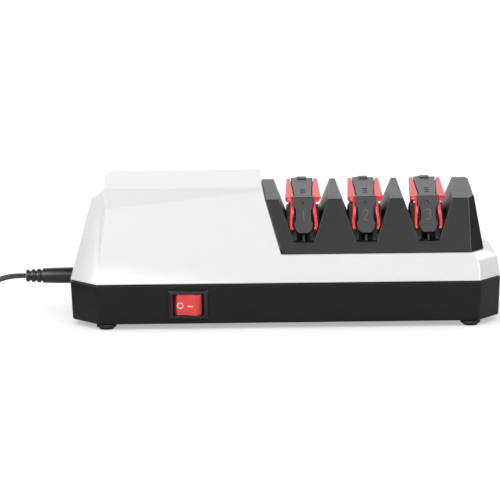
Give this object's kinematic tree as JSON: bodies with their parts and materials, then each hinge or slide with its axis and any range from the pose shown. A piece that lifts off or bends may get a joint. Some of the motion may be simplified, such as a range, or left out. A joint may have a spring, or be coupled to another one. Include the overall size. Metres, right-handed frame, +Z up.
{
  "type": "electric knife sharpener",
  "caption": "Electric knife sharpener: low faceted housing, notched bay of abrasive wheels with sprung blade guides, side rocker switch, and a low-voltage lead to a wall adapter.",
  "frame": {"origin": "middle of the housing's footprint, rocker included, on the surface that its feet stand on", "axes": "+X along the housing to the sharpening stages, +Z up, -Y to the front with the switch"},
  "size_m": [0.3406, 0.144, 0.078],
  "materials": {
    "black_base": "satin black moulded ABS",
    "white_cover": "fine satin white moulded ABS",
    "grey_guide": "satin charcoal moulded ABS with worn bright edges",
    "foot_rubber": "matt black rubber",
    "zinc_screw": "zinc plated",
    "clip_plastic": "satin dark grey moulded plastic",
    "red_presser": "glossy red moulded plastic",
    "spring_steel": "drawn spring steel",
    "abrasive": "bonded abrasive grit",
    "turned_steel": "turned steel",
    "inner_plastic": "unfinished moulded plastic",
    "motor_zinc": "zinc plated sheet steel",
    "winding_copper": "enamelled copper windings",
    "switch_black": "glossy black nylon",
    "tinned_brass": "tinned brass",
    "rocker_red": "glossy translucent red polycarbonate",
    "plug_plastic": "satin dark grey overmould",
    "nickel_contact": "nickel plated brass",
    "cord_jacket": "matt black twin-core jacket",
    "tie_rubber": "matt black wire tie",
    "adapter_plastic": "satin black moulded case"
  },
  "bodies": {
    "housing": {"base_tub": "black_base", "top_cover": "white_cover", "guide_housing": "grey_guide", "foot_1": "foot_rubber", "foot_2": "foot_rubber", "foot_3": "foot_rubber", "foot_4": "foot_rubber", "housing_screw_1": "zinc_screw", "housing_screw_2": "zinc_screw", "housing_screw_3": "zinc_screw", "housing_screw_4": "zinc_screw", "motor_band_screw_1": "zinc_screw", "motor_band_screw_2": "zinc_screw", "stage_1_guide_clip": "clip_plastic", "stage_1_presser_pin": "spring_steel", "stage_1_presser_spring": "spring_steel", "stage_2_guide_clip": "clip_plastic", "stage_2_presser_pin": "spring_steel", "stage_2_presser_spring": "spring_steel", "stage_3_guide_clip": "clip_plastic", "stage_3_presser_pin": "spring_steel", "stage_3_presser_spring": "spring_steel", "left_bearing": "turned_steel", "right_bearing": "turned_steel", "motor_end_cap": "inner_plastic", "left_bearing_block": "inner_plastic", "right_bearing_block": "inner_plastic", "motor_can": "motor_zinc", "motor_band": "motor_zinc", "switch_housing": "switch_black", "dc_socket": "switch_black", "switch_terminal_1": "tinned_brass", "switch_terminal_2": "tinned_brass", "dc_plug": "plug_plastic", "dc_plug_barrel": "nickel_contact", "adapter_prong_1": "nickel_contact", "adapter_prong_2": "nickel_contact", "cord_lead": "cord_jacket", "cord_tail": "cord_jacket", "cord_coil": "cord_jacket", "coil_tie": "tie_rubber", "adapter_body": "adapter_plastic"},
    "spindle": {"spindle_shaft": "turned_steel", "shaft_coupling": "inner_plastic", "motor_rotor": "winding_copper", "stage_1_left_wheel": "abrasive", "stage_1_right_wheel": "abrasive", "stage_2_left_wheel": "abrasive", "stage_2_right_wheel": "abrasive", "stage_3_left_wheel": "abrasive", "stage_3_right_wheel": "abrasive"},
    "rocker": {"rocker_cap": "rocker_red"},
    "stage_1_left_presser": {"stage_1_left_presser": "red_presser"},
    "stage_1_right_presser": {"stage_1_right_presser": "red_presser"},
    "stage_2_left_presser": {"stage_2_left_presser": "red_presser"},
    "stage_2_right_presser": {"stage_2_right_presser": "red_presser"},
    "stage_3_left_presser": {"stage_3_left_presser": "red_presser"},
    "stage_3_right_presser": {"stage_3_right_presser": "red_presser"}
  },
  "joints": [
    {"name": "spindle_spin", "type": "hinge", "parent": "housing", "child": "spindle", "pos_m": [0, 0.00121, 0.036], "axis": [1, 0, 0], "continuous": true},
    {"name": "rocker_tilt", "type": "hinge", "parent": "housing", "child": "rocker", "pos_m": [-0.0517, -0.03592, 0.01375], "axis": [0, -0.043, 0.9991], "range_deg": [0, 22]},
    {"name": "stage_1_left_press", "type": "hinge", "parent": "housing", "child": "stage_1_left_presser", "pos_m": [0.01, 0.00121, 0.0625], "axis": [0, 1, 0], "range_deg": [-4, 0], "stiffness_Nm_per_rad": 0.05, "springref_deg": 1.72},
    {"name": "stage_1_right_press", "type": "hinge", "parent": "housing", "child": "stage_1_right_presser", "pos_m": [0.01, 0.00121, 0.0625], "axis": [0, 1, 0], "range_deg": [0, 4], "stiffness_Nm_per_rad": 0.05, "springref_deg": -1.72},
    {"name": "stage_2_left_press", "type": "hinge", "parent": "housing", "child": "stage_2_left_presser", "pos_m": [0.0433, 0.00121, 0.0625], "axis": [0, 1, 0], "range_deg": [-4, 0], "stiffness_Nm_per_rad": 0.05, "springref_deg": 1.72},
    {"name": "stage_2_right_press", "type": "hinge", "parent": "housing", "child": "stage_2_right_presser", "pos_m": [0.0433, 0.00121, 0.0625], "axis": [0, 1, 0], "range_deg": [0, 4], "stiffness_Nm_per_rad": 0.05, "springref_deg": -1.72},
    {"name": "stage_3_left_press", "type": "hinge", "parent": "housing", "child": "stage_3_left_presser", "pos_m": [0.0766, 0.00121, 0.0625], "axis": [0, 1, 0], "range_deg": [-4, 0], "stiffness_Nm_per_rad": 0.05, "springref_deg": 1.72},
    {"name": "stage_3_right_press", "type": "hinge", "parent": "housing", "child": "stage_3_right_presser", "pos_m": [0.0766, 0.00121, 0.0625], "axis": [0, 1, 0], "range_deg": [0, 4], "stiffness_Nm_per_rad": 0.05, "springref_deg": -1.72}
  ]
}
